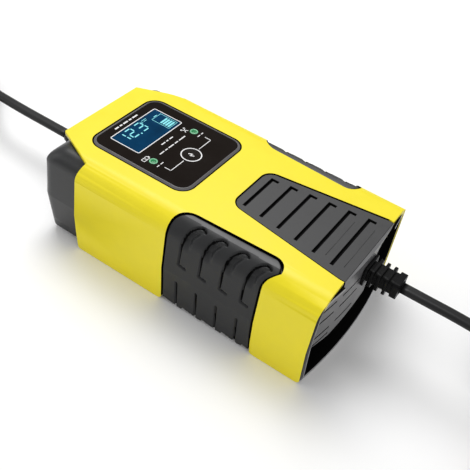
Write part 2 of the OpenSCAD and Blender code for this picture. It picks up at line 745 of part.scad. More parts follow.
module red_clamp_lower() color(dark_red) clamp_lower(red_clamp_at);
module red_clamp_upper() color(dark_red) clamp_upper(red_clamp_at);
module red_teeth_lower() color(copper) teeth(red_clamp_at, false);
module red_teeth_upper() color(copper) teeth(red_clamp_at, true);
module red_clamp_pin() color(steel) clamp_pin(red_clamp_at);
module red_clamp_spring() color(steel) clamp_spring(red_clamp_at);
module black_clamp_lower() color(black) clamp_lower(black_clamp_at);
module black_clamp_upper() color(black) clamp_upper(black_clamp_at);
module black_teeth_lower() color(copper) teeth(black_clamp_at, false);
module black_teeth_upper() color(copper) teeth(black_clamp_at, true);
module black_clamp_pin() color(steel) clamp_pin(black_clamp_at);
module black_clamp_spring() color(steel) clamp_spring(black_clamp_at);

yellow_cover();
inner_shell();
base_tray();
rear_cap();
side_grip_left();
side_grip_right();
top_insert();
front_bezel();
front_grille();
display_bezel();
display_overlay();
lcd_module();
display_board();
repair_button();
switch_plunger();
tact_switch();
led_charge();
led_repair();
ribbon_cable();
main_board();
transformer_core();
transformer_winding();
choke_core();
choke_winding();
x_capacitor();
bulk_capacitor();
output_capacitors();
bridge_rectifier();
fuse();
power_devices();
heatsinks();
mains_wires();
dc_wires();
board_screws();
case_screws();
rear_gland();
mains_lead();
mains_coil();
mains_tie();
plug_body();
plug_pins();
front_boot();
dc_lead();
dc_coil();
dc_tie();
lead_splitter();
red_lead();
black_lead();
red_clamp_lower();
red_clamp_upper();
red_teeth_lower();
red_teeth_upper();
red_clamp_pin();
red_clamp_spring();
black_clamp_lower();
black_clamp_upper();
black_teeth_lower();
black_teeth_upper();
black_clamp_pin();
black_clamp_spring();
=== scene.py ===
import json
import math

import bmesh
import bpy
from mathutils import Matrix, Vector


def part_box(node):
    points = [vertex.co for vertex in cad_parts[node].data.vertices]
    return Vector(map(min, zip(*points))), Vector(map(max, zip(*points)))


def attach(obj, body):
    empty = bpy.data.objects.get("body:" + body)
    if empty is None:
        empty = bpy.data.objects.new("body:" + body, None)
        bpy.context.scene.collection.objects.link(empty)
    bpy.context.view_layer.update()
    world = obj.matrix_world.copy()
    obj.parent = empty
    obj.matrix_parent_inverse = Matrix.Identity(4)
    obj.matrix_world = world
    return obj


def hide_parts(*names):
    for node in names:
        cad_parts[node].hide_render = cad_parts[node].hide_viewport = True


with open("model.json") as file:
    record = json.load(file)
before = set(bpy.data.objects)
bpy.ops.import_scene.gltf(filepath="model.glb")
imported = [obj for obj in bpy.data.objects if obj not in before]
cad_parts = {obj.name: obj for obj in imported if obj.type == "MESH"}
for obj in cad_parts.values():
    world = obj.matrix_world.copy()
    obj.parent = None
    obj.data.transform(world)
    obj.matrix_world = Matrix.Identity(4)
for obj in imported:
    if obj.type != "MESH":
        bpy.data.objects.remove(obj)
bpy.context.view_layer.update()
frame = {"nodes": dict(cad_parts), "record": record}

MM = 0.001
scene = bpy.context.scene


def mm(*values):
    """A point given in millimetres, in metres."""
    return Vector(values) * MM


# ---------------------------------------------------------------- camera, light, floor

VIEW_AZIMUTH = math.radians(26.97)
VIEW_ELEVATION = math.radians(43.08)
VIEW_ROLL = math.radians(10.19)
LOOK_AT = mm(23.2, -28.6, 48)
VIEW_DISTANCE = 292.8 * MM
LENS = 57.97                          # millimetres, on a 36 mm sensor


def add_camera():
    back = Vector((
        math.sin(VIEW_AZIMUTH) * math.cos(VIEW_ELEVATION),
        -math.cos(VIEW_AZIMUTH) * math.cos(VIEW_ELEVATION),
        math.sin(VIEW_ELEVATION),
    ))
    level = Vector((math.cos(VIEW_AZIMUTH), math.sin(VIEW_AZIMUTH), 0))
    upward = back.cross(level)
    right = math.cos(VIEW_ROLL) * level + math.sin(VIEW_ROLL) * upward
    up = math.cos(VIEW_ROLL) * upward - math.sin(VIEW_ROLL) * level
    data = bpy.data.cameras.new("camera")
    data.lens = LENS
    data.sensor_width = 36
    data.clip_start = 0.01
    camera = bpy.data.objects.new("camera", data)
    turn = Matrix((right, up, back)).transposed().to_4x4()
    camera.matrix_world = Matrix.Translation(LOOK_AT + back * VIEW_DISTANCE) @ turn
    scene.collection.objects.link(camera)
    scene.camera = camera


def add_area_light(name, place, size, power):
    data = bpy.data.lights.new(name, "AREA")
    data.shape = "RECTANGLE"
    data.size, data.size_y = size
    data.energy = power
    lamp = bpy.data.objects.new(name, data)
    lamp.location = place
    aim = (Vector((0, 0, 0.02)) - Vector(place)).to_track_quat("-Z", "Y")
    lamp.rotation_euler = aim.to_euler()
    scene.collection.objects.link(lamp)


def add_studio():
    scene.view_settings.view_transform = "Standard"
    world = bpy.data.worlds.new("studio")
    world.use_nodes = True
    world.node_tree.nodes["Background"].inputs["Color"].default_value = (1, 1, 1, 1)
    world.node_tree.nodes["Background"].inputs["Strength"].default_value = 0.46
    scene.world = world
    add_area_light("key", (-0.25, 0.25, 0.75), (0.5, 0.5), 4.6)
    add_area_light("front_fill", (0.55, -0.45, 0.45), (0.5, 0.4), 0.8)
    add_area_light("left_fill", (-0.6, -0.35, 0.35), (0.4, 0.4), 0.7)
    bpy.ops.mesh.primitive_plane_add(size=6, location=(0, 0, -0.0002))
    floor = bpy.context.object
    floor.name = "floor"
    floor.data.materials.append(plain_material("floor_paper", (1.0, 1.0, 1.0), 0.9))


# ---------------------------------------------------------------- materials

def shader(material):
    return material.node_tree.nodes["Principled BSDF"]


def plain_material(name, colour, roughness):
    material = bpy.data.materials.new(name)
    material.use_nodes = True
    bsdf = shader(material)
    bsdf.inputs["Base Color"].default_value = (*colour, 1)
    bsdf.inputs["Roughness"].default_value = roughness
    return material


def add_node(tree, kind, **inputs):
    node = tree.nodes.new(kind)
    for key, value in inputs.items():
        node.inputs[key.replace("_", " ")].default_value = value
    return node


def object_coordinates(tree):
    return tree.nodes.new("ShaderNodeTexCoord").outputs["Object"]


def moulded(
    name, colour, roughness, grain=0.12, grain_size=0.35, mottle=0.06, metallic=0.0, gloss_level=0.5,
):
    """Moulded plastic or metal: a spark-eroded grain, faint colour clouds and uneven gloss.
    grain_size is in millimetres."""
    material = plain_material(name, colour, roughness)
    tree = material.node_tree
    bsdf = shader(material)
    bsdf.inputs["Metallic"].default_value = metallic
    bsdf.inputs["Specular IOR Level"].default_value = gloss_level
    place = object_coordinates(tree)
    clouds = add_node(tree, "ShaderNodeTexNoise", Scale=90.0, Detail=3.0, Roughness=0.6)
    tree.links.new(place, clouds.inputs["Vector"])
    ramp = tree.nodes.new("ShaderNodeValToRGB")
    for k, position, share in ((0, 0.3, 1 - mottle), (1, 0.7, 1 + mottle)):
        ramp.color_ramp.elements[k].position = position
        ramp.color_ramp.elements[k].color = (*[min(1.0, c * share) for c in colour], 1)
    tree.links.new(clouds.outputs["Fac"], ramp.inputs["Fac"])
    tree.links.new(ramp.outputs["Color"], bsdf.inputs["Base Color"])
    gloss = add_node(
        tree, "ShaderNodeMapRange", From_Min=0.3, From_Max=0.7, To_Min=max(0.03, roughness - 0.05),
        To_Max=min(1.0, roughness + 0.05),
    )
    tree.links.new(clouds.outputs["Fac"], gloss.inputs["Value"])
    tree.links.new(gloss.outputs["Result"], bsdf.inputs["Roughness"])
    if grain > 0:
        pits = add_node(tree, "ShaderNodeTexNoise", Scale=1 / (grain_size * MM), Detail=2.0, Roughness=0.55)
        tree.links.new(place, pits.inputs["Vector"])
        bump = add_node(tree, "ShaderNodeBump", Strength=grain, Distance=0.00012)
        tree.links.new(pits.outputs["Fac"], bump.inputs["Height"])
        tree.links.new(bump.outputs["Normal"], bsdf.inputs["Normal"])
    return material


def striped(material, scale, strength, direction="X"):
    """Adds fine parallel ridges, such as the teeth of an extrusion or a woven tape's ribs."""
    tree = material.node_tree
    wave = add_node(tree, "ShaderNodeTexWave", Scale=scale, Distortion=0.4)
    wave.bands_direction = direction
    tree.links.new(object_coordinates(tree), wave.inputs["Vector"])
    bump = add_node(tree, "ShaderNodeBump", Strength=strength, Distance=0.0002)
    tree.links.new(wave.outputs["Fac"], bump.inputs["Height"])
    tree.links.new(bump.outputs["Normal"], shader(material).inputs["Normal"])
    return material


def glowing(material, colour, strength):
    bsdf = shader(material)
    bsdf.inputs["Emission Color"].default_value = (*colour, 1)
    bsdf.inputs["Emission Strength"].default_value = strength
    return material


def make_materials():
    m = {}
    m["cover"] = moulded("yellow_abs", (0.88, 0.745, 0.012), 0.40, grain=0.10, mottle=0.02, gloss_level=0.4)
    m["grip"] = moulded("grip_rubber", (0.021, 0.0215, 0.0225), 0.48, grain=0.25, gloss_level=0.3)
    # Painted highlight: a lighter copy of the grip rubber for the band along the grip's top, which faces up
    # to the light
    m["grip_lit_band"] = moulded("grip_band_painted_highlight", (0.06, 0.06, 0.062), 0.45, grain=0.2)
    m["shell"] = moulded("black_abs", (0.024, 0.0245, 0.0255), 0.36, grain=0.22, gloss_level=0.35)
    m["insert"] = moulded("insert_abs", (0.052, 0.052, 0.053), 0.45, grain=0.3, gloss_level=0.3)
    m["rim"] = moulded("rim_abs", (0.115, 0.115, 0.118), 0.38, grain=0.12)
    m["edge"] = moulded("front_edge_abs", (0.30, 0.30, 0.305), 0.36, grain=0.1)
    m["boot"] = moulded("boot_pvc", (0.003, 0.003, 0.0032), 0.4, grain=0.15, gloss_level=0.12)
    # Painted shade: a near-black finish put on the walls of openings, grooves, slots and gaps where shade
    # falls
    m["recess_shade"] = moulded("recess_painted_shade", (0.002, 0.002, 0.002), 0.6, grain=0.2, gloss_level=0.05)
    m["panel_rim"] = moulded("panel_rim_abs", (0.105, 0.10, 0.105), 0.35, grain=0.08)
    m["panel"] = moulded("panel_film", (0.0095, 0.0065, 0.005), 0.16, grain=0.0, gloss_level=0.05)
    m["print"] = moulded("white_ink", (0.80, 0.80, 0.80), 0.5, grain=0.1, grain_size=0.15)
    m["lcd"] = moulded("lcd_glass", (0.0, 0.034, 0.092), 0.14, grain=0.0, mottle=0.25, gloss_level=0.05)
    m["lcd_marks"] = glowing(
        moulded("lcd_segments", (0.20, 0.70, 0.75), 0.35, grain=0.0, mottle=0.1), (0.25, 0.8, 0.85), 0.12,
    )
    m["button"] = moulded("button_cap", (0.0095, 0.007, 0.0055), 0.22, grain=0.05, gloss_level=0.06)
    m["plunger"] = moulded("plunger_pom", (0.62, 0.5, 0.08), 0.45)
    m["led"] = glowing(
        moulded("led_epoxy", (0.004, 0.19, 0.055), 0.15, grain=0.0, mottle=0.2), (0, 0.4, 0.1), 0.05,
    )
    m["led_ring"] = glowing(
        moulded("led_flange", (0.15, 0.45, 0.24), 0.25, grain=0.0), (0.4, 0.9, 0.6), 0.05,
    )
    m["board"] = moulded("solder_mask", (0.015, 0.13, 0.04), 0.3, grain=0.3, grain_size=1.2, mottle=0.15)
    m["ribbon"] = striped(moulded("ribbon_pvc", (0.42, 0.42, 0.45), 0.5, grain=0), 250, 0.8, "Y")
    m["ferrite"] = moulded("ferrite_core", (0.03, 0.03, 0.033), 0.6, grain=0.5)
    m["tape"] = moulded("polyester_tape", (0.75, 0.52, 0.05), 0.25, grain=0.15, grain_size=0.8)
    m["copper"] = striped(moulded("copper", (0.72, 0.36, 0.2), 0.3, grain=0, metallic=1.0), 180, 0.5, "Z")
    m["film_cap"] = moulded("film_capacitor", (0.7, 0.5, 0.04), 0.3, grain=0.08)
    m["can"] = moulded("capacitor_sleeve", (0.02, 0.03, 0.09), 0.22, grain=0.05)
    m["chip"] = moulded("moulded_epoxy", (0.015, 0.015, 0.016), 0.6, grain=0.4)
    m["fuse_glass"] = moulded("fuse_ceramic", (0.75, 0.74, 0.70), 0.2, grain=0.05)
    m["alloy"] = striped(
        moulded("extruded_alloy", (0.6, 0.6, 0.62), 0.35, grain=0, metallic=1.0), 300, 0.3, "Z",
    )
    m["wire_brown"] = moulded("brown_pvc", (0.13, 0.05, 0.02), 0.4)
    m["wire_red"] = moulded("red_pvc", (0.5, 0.012, 0.01), 0.38, grain=0.12)
    m["wire_black"] = moulded("black_pvc", (0.014, 0.014, 0.015), 0.38, grain=0.12)
    m["cord"] = moulded(
        "cord_pvc", (0.011, 0.011, 0.0115), 0.42, grain=0.15, grain_size=0.5, gloss_level=0.3,
    )
    m["tie"] = striped(
        moulded("hook_tape", (0.02, 0.02, 0.022), 0.8, grain=0, mottle=0.3), 400, 1.0, "DIAGONAL",
    )
    m["nickel"] = moulded("nickel", (0.72, 0.7, 0.66), 0.2, grain=0.05, metallic=1.0)
    m["steel"] = moulded("zinc_steel", (0.55, 0.55, 0.56), 0.32, grain=0.15, metallic=1.0)
    m["clamp_red"] = moulded("clamp_red_pvc", (0.52, 0.014, 0.011), 0.36, grain=0.2)
    m["clamp_black"] = moulded("clamp_black_pvc", (0.016, 0.016, 0.017), 0.36, grain=0.2)
    return m


add_camera()
add_studio()
MATERIAL = make_materials()


# ---------------------------------------------------------------- mesh helpers

def add_object(name, mesh, materials, body="root"):
    """Adds a piece with the materials of those names."""
    obj = bpy.data.objects.new(name, mesh)
    scene.collection.objects.link(obj)
    for material in materials:
        mesh.materials.append(MATERIAL[material])
    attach(obj, body)
    return obj


def catmull(points, per_span):
    """Points along a smooth curve through the given ones."""
    ends = [2 * points[0] - points[1]] + list(points) + [2 * points[-1] - points[-2]]
    out = []
    for i in range(1, len(ends) - 2):
        a, b, c, d = ends[i - 1:i + 3]
        for k in range(per_span):
            t = k / per_span
            out.append(0.5 * (
                2 * b + (c - a) * t + (2 * a - 5 * b + 4 * c - d) * t * t
                + (3 * b - a - 3 * c + d) * t ** 3
            ))
    out.append(Vector(points[-1]))
    return out


def smooth_step(t):
    t = min(1.0, max(0.0, t))
    return t * t * (3 - 2 * t)


def turn_angles(count):
    """Angles of that many places round a full turn."""
    return [2 * math.pi * k / count for k in range(count)]


def circle(centre, r, count):
    return [(centre[0] + r * math.cos(a), centre[1] + r * math.sin(a)) for a in turn_angles(count)]


def join_rings(mesh, rings):
    """Walls between closed rings that have as many points."""
    for a, b in zip(rings, rings[1:]):
        for k in range(len(a)):
            j = (k + 1) % len(a)
            mesh.faces.new((a[k], a[j], b[j], b[k]))


def close_ends(mesh, rings):
    mesh.faces.new(list(reversed(rings[0])))
    mesh.faces.new(rings[-1])


# ---------------------------------------------------------------- cords

CORD_WIDTH = 5.2
CORD_THICK = 3.2
WIRE = 2.6                            # diameter of the red and black leads
COIL_R = 27.0                         # middle radius of a coil's turns
TURN_STEP = CORD_THICK + 0.1
LAYER_Z = (3.45, 8.75)                # heights of a coil's two layers


def spiral(centre, start_deg, start_r, pieces):
    """Points of a two-layer coil. Each piece is (degrees, radius change per turn, start height,
    end height)."""
    angle, radius = start_deg, start_r
    points = []
    for sweep_deg, grow, z_start, z_end in pieces:
        steps = max(1, round(sweep_deg / 12))
        for k in range(steps):
            t = k / steps
            a = math.radians(angle + sweep_deg * t)
            r = radius + grow * sweep_deg * t / 360
            z = z_start + (z_end - z_start) * smooth_step(t)
            points.append(mm(centre[0] + r * math.cos(a), centre[1] + r * math.sin(a), z))
        angle += sweep_deg
        radius += grow * sweep_deg / 360
    a = math.radians(angle)
    points.append(mm(centre[0] + radius * math.cos(a), centre[1] + radius * math.sin(a), z_end))
    return points


def twin_profile(count=10):
    """Outline of a flat two-core cord: two round lobes with a shallow groove between them."""
    r = CORD_THICK / 2
    offset = CORD_WIDTH / 2 - r
    outline = []
    for side in (1, -1):
        for k in range(count + 1):
            a = math.radians(-105 + 210 * k / count) + (0 if side > 0 else math.pi)
            outline.append((side * offset + r * math.cos(a), r * math.sin(a)))
    return [(x * MM, y * MM) for x, y in outline]


def tube(name, points, outline, edge_on, slot):
    """Sweeps the outline along the points. edge_on says how far, from 0 to 1, the outline's wide
    side is turned from level to upright at each point."""
    mesh = bmesh.new()
    rings = []
    count = len(points)
    for i, p in enumerate(points):
        ahead = (points[min(i + 1, count - 1)] - points[max(i - 1, 0)]).normalized()
        side = ahead.cross(Vector((0, 0, 1))).normalized()
        rise = side.cross(ahead)
        turn = edge_on(i / (count - 1)) * math.pi / 2
        u = math.cos(turn) * side + math.sin(turn) * rise
        v = math.cos(turn) * rise - math.sin(turn) * side
        rings.append([mesh.verts.new(p + u * x + v * y) for x, y in outline])
    join_rings(mesh, rings)
    close_ends(mesh, rings)
    bmesh.ops.recalc_face_normals(mesh, faces=mesh.faces)
    for face in mesh.faces:
        face.smooth = len(face.verts) == 4
    data = bpy.data.meshes.new(name)
    mesh.to_mesh(data)
    mesh.free()
    return add_object(name, data, [slot])


MAINS_ROUTE = [
    (-90, 0, 22), (-104, 0, 22), (-118, 0, 22), (-131, 0.5, 21.8), (-143, 3, 20),
    (-153.5, 10, 16.5), (-162, 19, 12.5), (-173, 26.5, 8.5), (-187, 28.5, 5.5), (-200, 25, 4),
    (-210.5, 16.5, 3.5),
]
MAINS_TAIL = [
    (-188.5, -39, 9.3), (-180, -38.8, 10.6), (-171.5, -36.4, 12.2), (-164, -31.5, 13.6),
    (-158.5, -25, 14.8), (-156, -17.5, 16), (-156.2, -10, 17.1), (-159.5, -2.6, 18.1),
    (-166, 3, 18.5), (-175, 5, 18.5),
]
DC_ROUTE = [
    (85.4, 0, 38.5), (97, 0, 38.5), (109, 0, 38.5), (121, -0.3, 38), (133, -1.3, 35.8),
    (145, -3.3, 31.8), (156, -5.2, 27.2), (167, -5, 22.5), (177, -0.8, 18), (183.5, 6.8, 14.3),
    (186.5, 16.5, 11.2),
]
DC_TAIL = [(167, -7.8, 3.4), (178, -8, 3.4), (190, -8, 3.4)]
RED_ROUTE = [
    (202, -9.4, 3.4), (212, -9, 3), (218.5, -8.7, 3), (224, -8.7, 3), (228.2, -10.4, 3.2),
    (230, -14.6, 3.4), (228.2, -18.8, 3.5), (224, -20.5, 3.5), (214, -20.5, 3.5),
    (203, -20.5, 4), (192, -20.5, 4.6),
]
BLACK_ROUTE = [
    (202, -6.6, 3.4), (213, -5.8, 3), (224, -5.5, 3), (232, -8.5, 3), (236.5, -15.5, 3),
    (237, -24, 3.2), (233, -31, 3.4), (226, -34.2, 3.5), (214, -34.5, 3.5), (203, -34.5, 4),
    (192, -34.5, 4.6),
]
MAINS_COIL = (-186, -8)               # middles of the coils
DC_COIL = (156, 22.5)


def flat_cord(name, route, turns, tail, settle_from, settle_over):
    """A flat cord that stands on edge in its coil, and its path. It lies down again over the part
    settle_over of its points, from settle_from after the coil."""
    points = [mm(*p) for p in route] + turns + [mm(*p) for p in tail]
    path = catmull(points, 4)
    coil_from = len(route) / len(points)
    coil_to = 1 - len(tail) / len(points)

    def edge_on(t):
        stood_up = smooth_step((t - coil_from * 0.62) / (coil_from * 0.4))
        return stood_up - smooth_step((t - coil_to - settle_from) / settle_over)

    cord = tube(name, path, twin_profile(), edge_on, "cord")
    return cord, path


def build_cords():
    low, high = LAYER_Z
    turns = spiral(MAINS_COIL, 175, COIL_R + 1.5 * TURN_STEP, [
        (1080, -TURN_STEP, low, low), (90, 0, low, high), (1065, TURN_STEP, high, high),
    ])
    cord, path = flat_cord("mains_cord", MAINS_ROUTE, turns, MAINS_TAIL, 0, 0.06)
    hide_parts("mains_lead", "mains_coil")

    turns = spiral(DC_COIL, 10, COIL_R + TURN_STEP, [
        (630, -TURN_STEP, high, high), (90, 0, high, low), (620, TURN_STEP, low, low),
    ])
    cord, path = flat_cord("dc_cord", DC_ROUTE, turns, DC_TAIL, -0.01, 0.03)
    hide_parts("dc_lead", "dc_coil")
    for colour, route in (("red", RED_ROUTE), ("black", BLACK_ROUTE)):
        path = catmull([mm(*p) for p in route], 6)
        outline = circle((0, 0), WIRE / 2 * MM, 14)
        lead = tube(f"{colour}_wire", path, outline, lambda t: 0, f"wire_{colour}")
        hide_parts(f"{colour}_lead")


build_cords()


# ---------------------------------------------------------------- more mesh helpers

def finished(name, mesh, materials, node=None, body="root", smooth=True):
    """Turns a bmesh into a piece, which may stand for a CAD node."""
    bmesh.ops.recalc_face_normals(mesh, faces=mesh.faces)
    for face in mesh.faces:
        face.smooth = smooth
    data = bpy.data.meshes.new(name)
    mesh.to_mesh(data)
    mesh.free()
    obj = add_object(name, data, materials, body)
    if node:
        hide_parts(node)
    return obj


def sharp_edges(mesh, degrees):
    limit = math.radians(degrees)
    return [e for e in mesh.edges if len(e.link_faces) == 2 and e.calc_face_angle(0) > limit]


def node_mesh(node):
    """A clean copy of a CAD node's mesh, its flat faces whole."""
    mesh = bmesh.new()
    mesh.from_mesh(frame["nodes"][node].data)
    bmesh.ops.remove_doubles(mesh, verts=mesh.verts, dist=1e-6)
    bmesh.ops.dissolve_limit(mesh, angle_limit=math.radians(0.3), verts=mesh.verts, edges=mesh.edges)
    return mesh


def round_edges(mesh, radius, segments=3, chosen=None, degrees=30):
    edges = [e for e in sharp_edges(mesh, degrees) if chosen is None or chosen(e)]
    bmesh.ops.bevel(
        mesh, geom=edges, offset=radius * MM, offset_type="OFFSET", segments=segments,
        profile=0.5, affect="EDGES", clamp_overlap=True,
    )


def even_normals(obj):
    """Keeps flat faces flat beside rounded edges."""
    weighted = obj.modifiers.new("even_normals", "WEIGHTED_NORMAL")
    weighted.weight = 80
    weighted.keep_sharp = True


def softened(node, radius, segments=3, degrees=30, material=None, body="root"):
    """The CAD node with its edges rounded, as moulding leaves them."""
    slot = SLOT[node]
    mesh = node_mesh(node)
    round_edges(mesh, radius, segments, degrees=degrees)
    obj = finished(f"{node}_part", mesh, [material or slot], node, body)
    even_normals(obj)
    return obj


def lathe(name, profile, place, material, node=None, body="root", count=48):
    """Turns (radius, height) points round the Z axis of the matrix place."""
    mesh = bmesh.new()
    rings = []
    for radius, height in profile:
        if radius == 0:
            rings.append([mesh.verts.new(place @ mm(0, 0, height))])
            continue
        rings.append([
            mesh.verts.new(place @ mm(radius * math.cos(a), radius * math.sin(a), height))
            for a in turn_angles(count)
        ])
    for a, b in zip(rings, rings[1:]):
        for k in range(count):
            j = (k + 1) % count
            around = (a[k % len(a)], a[j % len(a)], b[j % len(b)], b[k % len(b)])
            face = list(dict.fromkeys(around))
            if len(face) > 2:
                mesh.faces.new(face)
    for ring, top in ((rings[0], False), (rings[-1], True)):
        if len(ring) > 1:
            mesh.faces.new(ring if top else list(reversed(ring)))
    even_normals(finished(name, mesh, [material], node, body))


def rounded_rect(half_x, half_y, r, count=8):
    points = []
    for quarter, (sx, sy) in enumerate(((1, 1), (-1, 1), (-1, -1), (1, -1))):
        for k in range(count + 1):
            a = math.radians(90 * quarter + 90 * k / count)
            points.append((sx * (half_x - r) + r * math.cos(a), sy * (half_y - r) + r * math.sin(a)))
    return points


def prism(mesh, outline, z0, z1):
    """Adds a closed solid between two heights, in millimetres."""
    rings = [[mesh.verts.new(mm(x, y, z)) for x, y in outline] for z in (z0, z1)]
    close_ends(mesh, rings)
    join_rings(mesh, rings)


def band(mesh, outer, inner, z0, z1):
    """Adds a closed ring between two outlines of as many points."""
    loops = [[mesh.verts.new(mm(x, y, z)) for x, y in line] for line, z in (
        (outer, z0), (outer, z1), (inner, z1), (inner, z0),
    )]
    join_rings(mesh, loops + loops[:1])


def stroke(mesh, a, b, width, z0, z1):
    """Adds a bar with square ends from a to b."""
    along = Vector(b) - Vector(a)
    side = Vector((-along.y, along.x)).normalized() * width / 2
    a, b = Vector(a), Vector(b)
    prism(mesh, [tuple(p) for p in (a - side, b - side, b + side, a + side)], z0, z1)


SLOT = {s["node"]: s["material_slot"] for s in frame["record"]["subparts"]}


def corners(node):
    """A node's lowest and highest corners in millimetres."""
    low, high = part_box(node)
    return Vector(low) / MM, Vector(high) / MM


# ---------------------------------------------------------------- the body's outline

BODY_TOP = corners("yellow_cover")[1].z
SHOULDER_R = 9.5
SHOULDER_Y = 29.5                     # middle of the shoulder's round
SHOULDER_Z = BODY_TOP - SHOULDER_R
CREASE_Y, CREASE_Z = 39.6, 21.0
FOOT_Y = 37.8
ARC = SHOULDER_R * math.pi / 2
UPPER = SHOULDER_Z - CREASE_Z


def skin(s):
    """Point and outward normal, in Y and Z, s millimetres down the cover's side from its flat top."""
    if s < 0:
        return Vector((SHOULDER_Y + s, BODY_TOP)), Vector((0, 1))
    if s < ARC:
        a = s / SHOULDER_R
        normal = Vector((math.sin(a), math.cos(a)))
        return Vector((SHOULDER_Y, SHOULDER_Z)) + normal * SHOULDER_R, normal
    if s < ARC + UPPER:
        start, end = Vector((SHOULDER_Y + SHOULDER_R, SHOULDER_Z)), Vector((CREASE_Y, CREASE_Z))
        t = (s - ARC) / UPPER
    else:
        start, end = Vector((CREASE_Y, CREASE_Z)), Vector((FOOT_Y, 0))
        t = (s - ARC - UPPER) / CREASE_Z
    run = end - start
    return start + run * t, Vector((-run.y, run.x)).normalized()


def down_to_y(y):
    if y < SHOULDER_Y:
        return y - SHOULDER_Y
    return SHOULDER_R * math.asin((y - SHOULDER_Y) / SHOULDER_R)


def down_to_z(z):
    if z > SHOULDER_Z:
        return SHOULDER_R * math.acos((z - SHOULDER_Z) / SHOULDER_R)
    return ARC + SHOULDER_Z - z


def depth_in_cover(p):
    """How far a point lies below the cover's outer surface, in millimetres."""
    y, z = abs(p.y) / MM, p.z / MM
    if z > SHOULDER_Z and y > SHOULDER_Y:
        return SHOULDER_R - math.hypot(y - SHOULDER_Y, z - SHOULDER_Z)
    if y < SHOULDER_Y:
        return BODY_TOP - z
    point, normal = skin(down_to_z(z))
    return (point.x - y) * normal.x


# ---------------------------------------------------------------- housing

GRIP_REAR = corners("side_grip_left")[0].x


def make_cover():
    """The grips' openings have a wide rounded lip, and the other edges are crisp. The openings'
    walls carry painted shade, near black, and the front edge is black."""
    mesh = node_mesh("yellow_cover")
    grip_low, grip_high = corners("side_grip_left")

    def outside(edge):
        return all(depth_in_cover(v.co) < 0.05 for v in edge.verts)

    def on_lip(edge):
        middle = (edge.verts[0].co + edge.verts[1].co) / 2 / MM
        at_grip = grip_low.x - 2 < middle.x < grip_high.x + 2 and abs(edge.verts[0].co.y) > 29 * MM
        level = abs(edge.verts[0].co.z - edge.verts[1].co.z) < 0.02 * MM
        return outside(edge) and at_grip and not (level and middle.z < 1)

    round_edges(mesh, 1.0, 5, on_lip)
    round_edges(mesh, 0.3, 2, outside, degrees=40)
    mesh.normal_update()
    front = corners("yellow_cover")[1].x - 2
    for face in mesh.faces:
        middle = face.calc_center_median()
        x, y, z = middle.x / MM, abs(middle.y) / MM, middle.z / MM
        in_opening = depth_in_cover(middle) > 0.45 and abs(face.normal.z) < 0.95 and z > 3
        at_display = y < 24 and z > 45 and x < front
        by_grip = y > 26 and GRIP_REAR - 3 < x < GRIP_REAR + 52
        # Painted shade: the openings' walls by the display and the grips take the near-black finish
        if in_opening and (at_display or by_grip):
            face.material_index = 1
        elif face.normal.x > 0.6 and x > front and z < 45:
            face.material_index = 2
    even_normals(finished("cover_shell", mesh, ["cover", "recess_shade", "shell"], "yellow_cover"))


GRIP_TOP_Y = 29.4                     # distance of the grip's top edge from the middle, at its rear
GRIP_TOP_SLANT = 1.3                  # how much nearer the middle it ends
GRIP_LENGTH = 44.32                   # to the middle of its top's round front end
GRIP_CORNER = 8.6                     # of its top rear corner
LOBE_R = 5.9                          # of that round front end
LOBE_BACK = 1.5
LOBE_OUT = 4.6                        # how much further out than the grip's top edge its middle lies
GROOVE_FIRST = 5.7                    # X of the rear groove
GROOVE_PITCH = 10.1
GROOVE_HALF = 0.3                     # half its width at the floor
GROOVE_WALL = 0.35                    # run of its sloping wall
GROOVE_OVER = [                       # (X, distance from the middle) of a groove over the shoulder
    (7.5, 34.1), (6.9, 33.5), (6.0, 33.1), (5.0, 33.2), (3.6, 34), (2.2, 35.2), (1.2, 36.6), (0.6, 38),
]
GROOVE_DOWN = [(0.25, 41), (0, 37), (-0.1, 32), (-0.2, 27.6), (3.2, 27)]    # (X, height) below it
GROOVE_FOOT = [(-0.3, 16.5), (-0.3, 8), (-0.3, -2)]
PAD_DEPTH = 0.3                       # of the pads below the cover's surface, low on the side
SHOULDER_DEPTH = 0.35                 # how much deeper they lie at the shoulder
GROOVE_DEPTH = 1.1
SCOOP_DEPTH = 2.0                     # of the finger scoops ahead of the grooves
EDGE_ROUND = 0.7                      # of the grip's outer edges
INNER_DEPTH = 2.95                    # of the grip's inner face
GRIP_HIGHLIGHT_Z = 47.05                   # above this height the grip carries a painted highlight, a lighter band


def grip_ends(y):
    """Rear and front ends of the grip at a distance y from the middle."""
    rear, front = GRIP_REAR, GRIP_REAR + GRIP_LENGTH
    across = GRIP_TOP_Y + GRIP_CORNER - y
    if across > 0:
        rear += GRIP_CORNER - math.sqrt(max(0, GRIP_CORNER ** 2 - min(across, GRIP_CORNER) ** 2))
    lobe_y = GRIP_TOP_Y + LOBE_OUT
    neck_y = lobe_y + 3.4
    if y < lobe_y:
        front += math.sqrt(max(0, LOBE_R ** 2 - min(lobe_y - y, LOBE_R) ** 2)) - LOBE_BACK
    elif y < neck_y:
        front += LOBE_R - LOBE_BACK - 3.5 * (y - lobe_y) / (neck_y - lobe_y)
    else:
        front += max(0, 0.9 - 0.64 * (y - neck_y))
    return rear, front


def groove_lines():
    """Each groove of a grip as points (X, distance down the side)."""
    lines = []
    for i in range(4):
        x = GROOVE_FIRST + i * GROOVE_PITCH
        hook = [(x + dx, down_to_y(y)) for dx, y in GROOVE_OVER]
        lines.append(hook + [(x + dx, down_to_z(z)) for dx, z in GROOVE_DOWN])
        lines.append([(x + dx, down_to_z(z)) for dx, z in GROOVE_FOOT])
    return lines


def distance_to_line(p, line):
    best = 99.0
    for a, b in zip(line, line[1:]):
        ax, ay = p[0] - a[0], p[1] - a[1]
        bx, by = b[0] - a[0], b[1] - a[1]
        t = min(1.0, max(0.0, (ax * bx + ay * by) / (bx * bx + by * by)))
        best = min(best, math.hypot(ax - t * bx, ay - t * by))
    return best


def groove_distance(x, s, lines):
    near = [line for line in lines if line[0][0] - 9 < x < line[0][0] + 4]
    return min([distance_to_line((x, s), line) for line in near], default=9)


